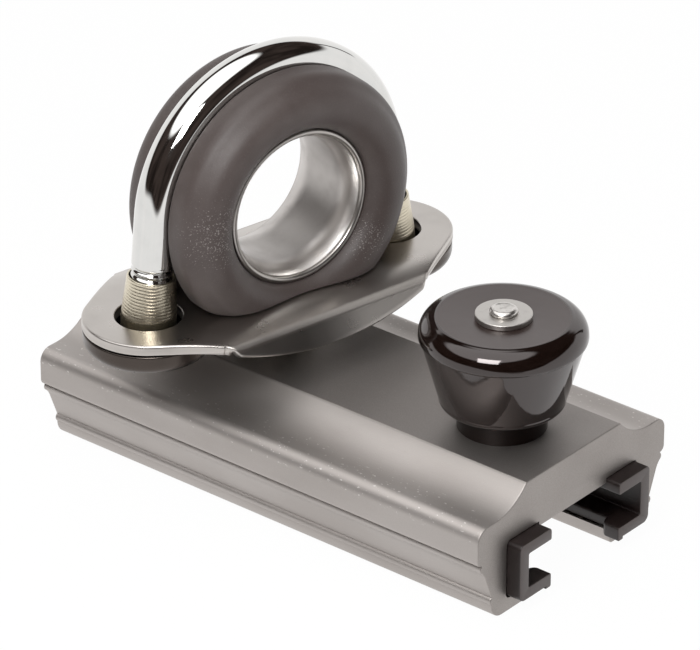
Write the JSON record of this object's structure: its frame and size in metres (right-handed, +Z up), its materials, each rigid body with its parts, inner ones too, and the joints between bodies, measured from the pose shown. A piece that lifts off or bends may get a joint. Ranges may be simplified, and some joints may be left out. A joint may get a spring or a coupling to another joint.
{
  "type": "genoa car",
  "caption": "Genoa lead car for a T-track: a lined slide with a spring plunger stop and a swivelling fairlead, a lined ring held to a saddle plate by a polished bow.",
  "frame": {"origin": "bottom centre of the slide body, on the centreline of the track", "axes": "+X along the track from the fairlead towards the plunger knob, +Y across the track, +Z up from the deck"},
  "size_m": [0.11, 0.0786, 0.0831],
  "materials": {
    "slide": "satin anodised, warm grey",
    "liner": "satin black",
    "housing": "gloss black",
    "knob": "gloss black",
    "plunger_steel": "satin stainless",
    "spring": "drawn stainless wire",
    "pivot": "turned stainless",
    "bearing": "acetal",
    "plate": "polished stainless",
    "bow": "mirror polished stainless",
    "nut": "turned, slightly yellow",
    "disc": "polished stainless",
    "ring": "satin charcoal with a fine grain",
    "thimble": "satin stainless"
  },
  "bodies": {
    "slide": {"slide_body": "slide", "liner_left": "liner", "liner_right": "liner", "plunger_housing": "housing", "plunger_spring": "spring", "pivot_pin": "pivot", "swivel_washer_lower": "bearing", "swivel_spacer": "pivot", "swivel_washer_upper": "bearing", "pivot_nut_washer": "pivot", "pivot_nut": "pivot"},
    "fairlead": {"saddle_plate": "plate", "bow": "bow", "bow_nut_left": "nut", "bow_nut_right": "nut", "seat_disc_left": "disc", "seat_disc_right": "disc", "fairlead_ring": "ring", "thimble": "thimble"},
    "plunger": {"plunger_pin": "plunger_steel", "plunger_knob": "knob", "knob_washer": "plunger_steel"}
  },
  "joints": [
    {"name": "fairlead_swivel", "type": "hinge", "parent": "slide", "child": "fairlead", "pos_m": [-0.0189, 0, 0.0348], "axis": [0, 0, 1], "continuous": true},
    {"name": "plunger_lift", "type": "slide", "parent": "slide", "child": "plunger", "axis": [0, 0, 1], "range_m": [0, 0.0065], "stiffness_N_per_m": 1400, "springref_m": -0.004, "deforming": ["plunger_spring"]}
  ]
}
